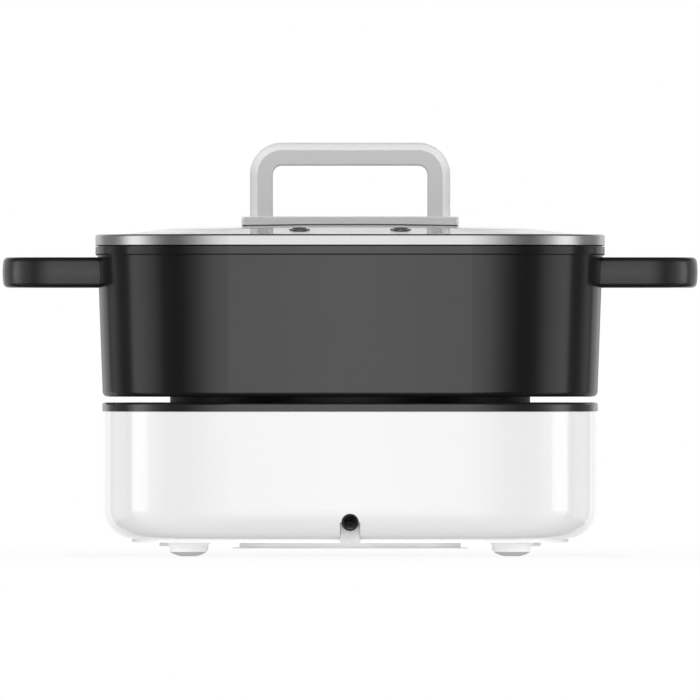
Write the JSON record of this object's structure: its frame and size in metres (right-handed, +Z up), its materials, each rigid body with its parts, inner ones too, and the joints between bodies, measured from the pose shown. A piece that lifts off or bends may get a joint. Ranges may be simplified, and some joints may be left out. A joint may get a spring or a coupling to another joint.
{
  "type": "electric hot pot with lid",
  "caption": "Square electric hot pot: a lift-off dark pot with loop handles and a domed glass lid on a white heated base with a knob and a rear cord outlet.",
  "frame": {"origin": "on the worktop, under the centre of the base", "axes": "+Z up, the cord leaves towards -Y, the knob faces +Y, +X is to the right seen from the cord's side"},
  "size_m": [0.3816, 0.2813, 0.2268],
  "materials": {
    "housing_white": "high gloss white moulding",
    "cover_white": "satin white moulding",
    "deck_black": "satin heat-resistant moulding",
    "plate_coated": "dark coated casting",
    "element_steel": "heat-tinted sheath",
    "bright_sheet": "bright sheet",
    "spring_steel": "bright wire",
    "sensor_metal": "bright drawn cup",
    "inner_plastic": "dark heat-resistant moulding",
    "board_green": "solder-masked board",
    "part_black": "moulded case",
    "part_blue": "sleeved case",
    "terminal_grey": "moulded case",
    "lead_white": "braided sleeve",
    "screw_zinc": "zinc plated",
    "foot_pale": "soft pale rubber",
    "bush_black": "black rubber",
    "knob_grey": "satin grey moulding",
    "lamp_clear": "milky light pipe",
    "pot_coated": "dark satin coating",
    "handle_black": "satin black moulding",
    "rim_steel": "brushed band",
    "lid_glass": "clear toughened glass",
    "vent_steel": "pressed eyelet",
    "lid_handle_grey": "satin pale grey moulding",
    "gasket_dark": "silicone rubber"
  },
  "bodies": {
    "base": {"base_housing": "housing_white", "bottom_cover": "cover_white", "cover_screws": "screw_zinc", "top_deck": "deck_black", "heating_plate": "plate_coated", "heating_tube": "element_steel", "heat_reflector": "bright_sheet", "reflector_screws": "screw_zinc", "plate_pillars": "spring_steel", "plate_screws": "screw_zinc", "sensor_guide": "inner_plastic", "sensor_spring": "spring_steel", "thermal_cutout": "part_black", "potentiometer": "part_black", "bushing_nut": "screw_zinc", "control_board": "board_green", "control_board_screws": "screw_zinc", "lamp_lens": "lamp_clear", "power_board": "board_green", "power_board_screws": "screw_zinc", "power_relay": "part_black", "power_transformer": "part_black", "filter_capacitor": "part_blue", "terminal_block": "terminal_grey", "heater_leads": "lead_white", "cord_bush": "bush_black", "cord_clamp": "inner_plastic", "cord_clamp_screws": "screw_zinc", "foot_rear_left": "foot_pale", "foot_front_left": "foot_pale", "foot_rear_right": "foot_pale", "foot_front_right": "foot_pale"},
    "pot": {"pot_body": "pot_coated", "pot_handle_left": "handle_black", "pot_handle_right": "handle_black", "pot_handle_screws": "screw_zinc"},
    "lid": {"lid_rim": "rim_steel", "lid_glass": "lid_glass", "steam_vents": "vent_steel", "lid_handle": "lid_handle_grey", "handle_gasket": "gasket_dark", "lid_handle_washers": "gasket_dark", "lid_handle_screws": "screw_zinc"},
    "sensor": {"sensor_cup": "sensor_metal"},
    "knob": {"control_knob": "knob_grey", "knob_shaft": "spring_steel"}
  },
  "joints": [
    {"name": "pot_lift", "type": "slide", "parent": "base", "child": "pot", "axis": [0, 0, 1], "range_m": [0, 0.12]},
    {"name": "lid_lift", "type": "slide", "parent": "pot", "child": "lid", "axis": [0, 0, 1], "range_m": [0, 0.15]},
    {"name": "knob_turn", "type": "hinge", "parent": "base", "child": "knob", "pos_m": [0, 0.136, 0.044], "axis": [0, -1, 0], "range_deg": [0, 270]},
    {"name": "sensor_press", "type": "slide", "parent": "base", "child": "sensor", "axis": [0, 0, 1], "range_m": [-0.002, 0], "stiffness_N_per_m": 600, "springref_m": 0.002, "deforming": ["sensor_spring"]}
  ]
}
